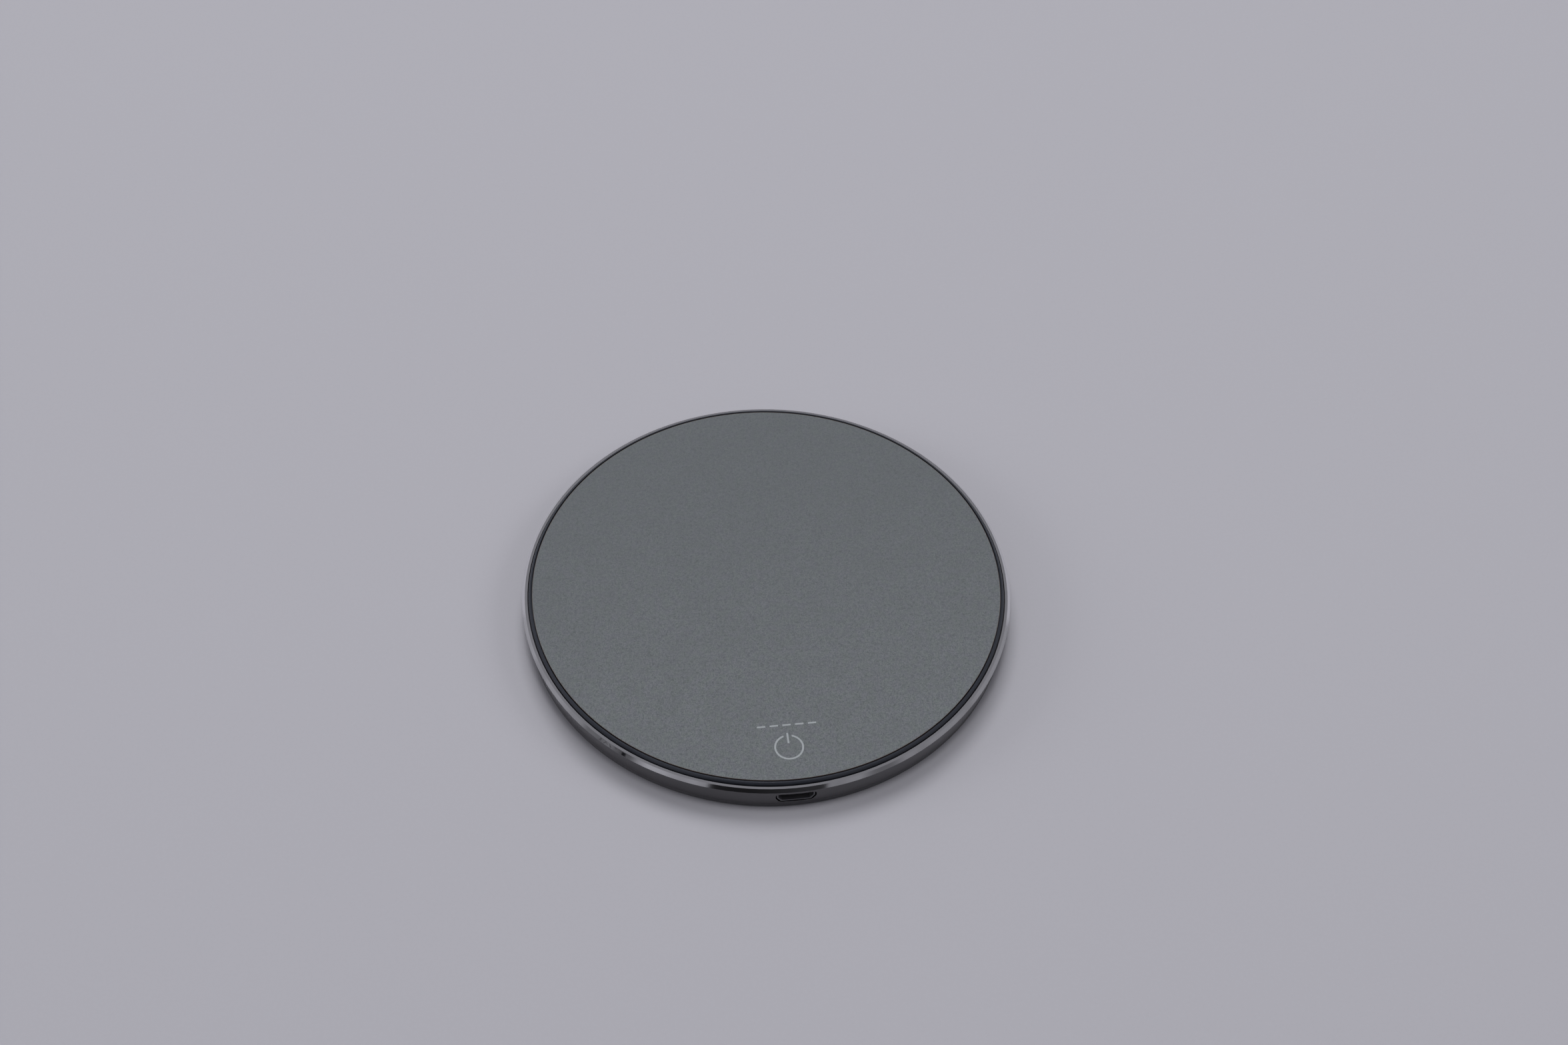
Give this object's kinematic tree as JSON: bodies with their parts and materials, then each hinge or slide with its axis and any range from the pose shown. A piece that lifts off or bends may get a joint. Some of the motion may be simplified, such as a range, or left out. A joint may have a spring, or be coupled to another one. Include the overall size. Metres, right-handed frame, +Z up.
{
  "type": "wireless charging pad",
  "caption": "Flat round wireless charging pad with a speckled top disc, dark rounded rim, bright-edged metal frame and a micro-USB socket in its side.",
  "frame": {"origin": "centre of the pad's axis on the surface that it lies on", "axes": "+Z up out of the charging surface, -Y out of the power socket, +X to the right seen from the socket's side"},
  "size_m": [0.1, 0.1, 0.0073],
  "materials": {
    "frame_metal": "turned, polished chamfer",
    "rim_gloss": "glossy moulding",
    "top_finish": "fine speckled matte film",
    "base_plastic": "fine moulded grain",
    "foot_silicone": "matte silicone",
    "tape_film": "translucent adhesive film",
    "screw_steel": "blackened",
    "coil_copper": "enamelled litz wire",
    "ferrite": "sintered",
    "board_laminate": "solder mask",
    "socket_steel": "dark nickel plated",
    "socket_plastic": "moulded",
    "contact_gold": "gold plated",
    "chip_plastic": "moulded package",
    "capacitor_ceramic": "tinned ends",
    "choke_ferrite": "sintered",
    "resistor_ceramic": "tinned ends",
    "led_lens": "clear moulding"
  },
  "bodies": {
    "root": {"metal_frame": "frame_metal", "top_tray": "rim_gloss", "surface_disc": "top_finish", "surface_tape": "tape_film", "base_cover": "base_plastic", "foot_ring": "foot_silicone", "case_screws": "screw_steel", "charging_coil": "coil_copper", "coil_tape": "tape_film", "ferrite_shield": "ferrite", "ferrite_tape": "tape_film", "circuit_board": "board_laminate", "usb_shell": "socket_steel", "usb_insulator": "socket_plastic", "usb_contacts": "contact_gold", "controller_chip": "chip_plastic", "bridge_transistors": "chip_plastic", "voltage_regulator": "chip_plastic", "resonant_capacitors": "capacitor_ceramic", "input_capacitors": "capacitor_ceramic", "filter_inductor": "choke_ferrite", "sense_resistors": "resistor_ceramic", "chip_resistors": "resistor_ceramic", "temperature_sensor": "capacitor_ceramic", "indicator_leds": "led_lens"}
  },
  "joints": []
}
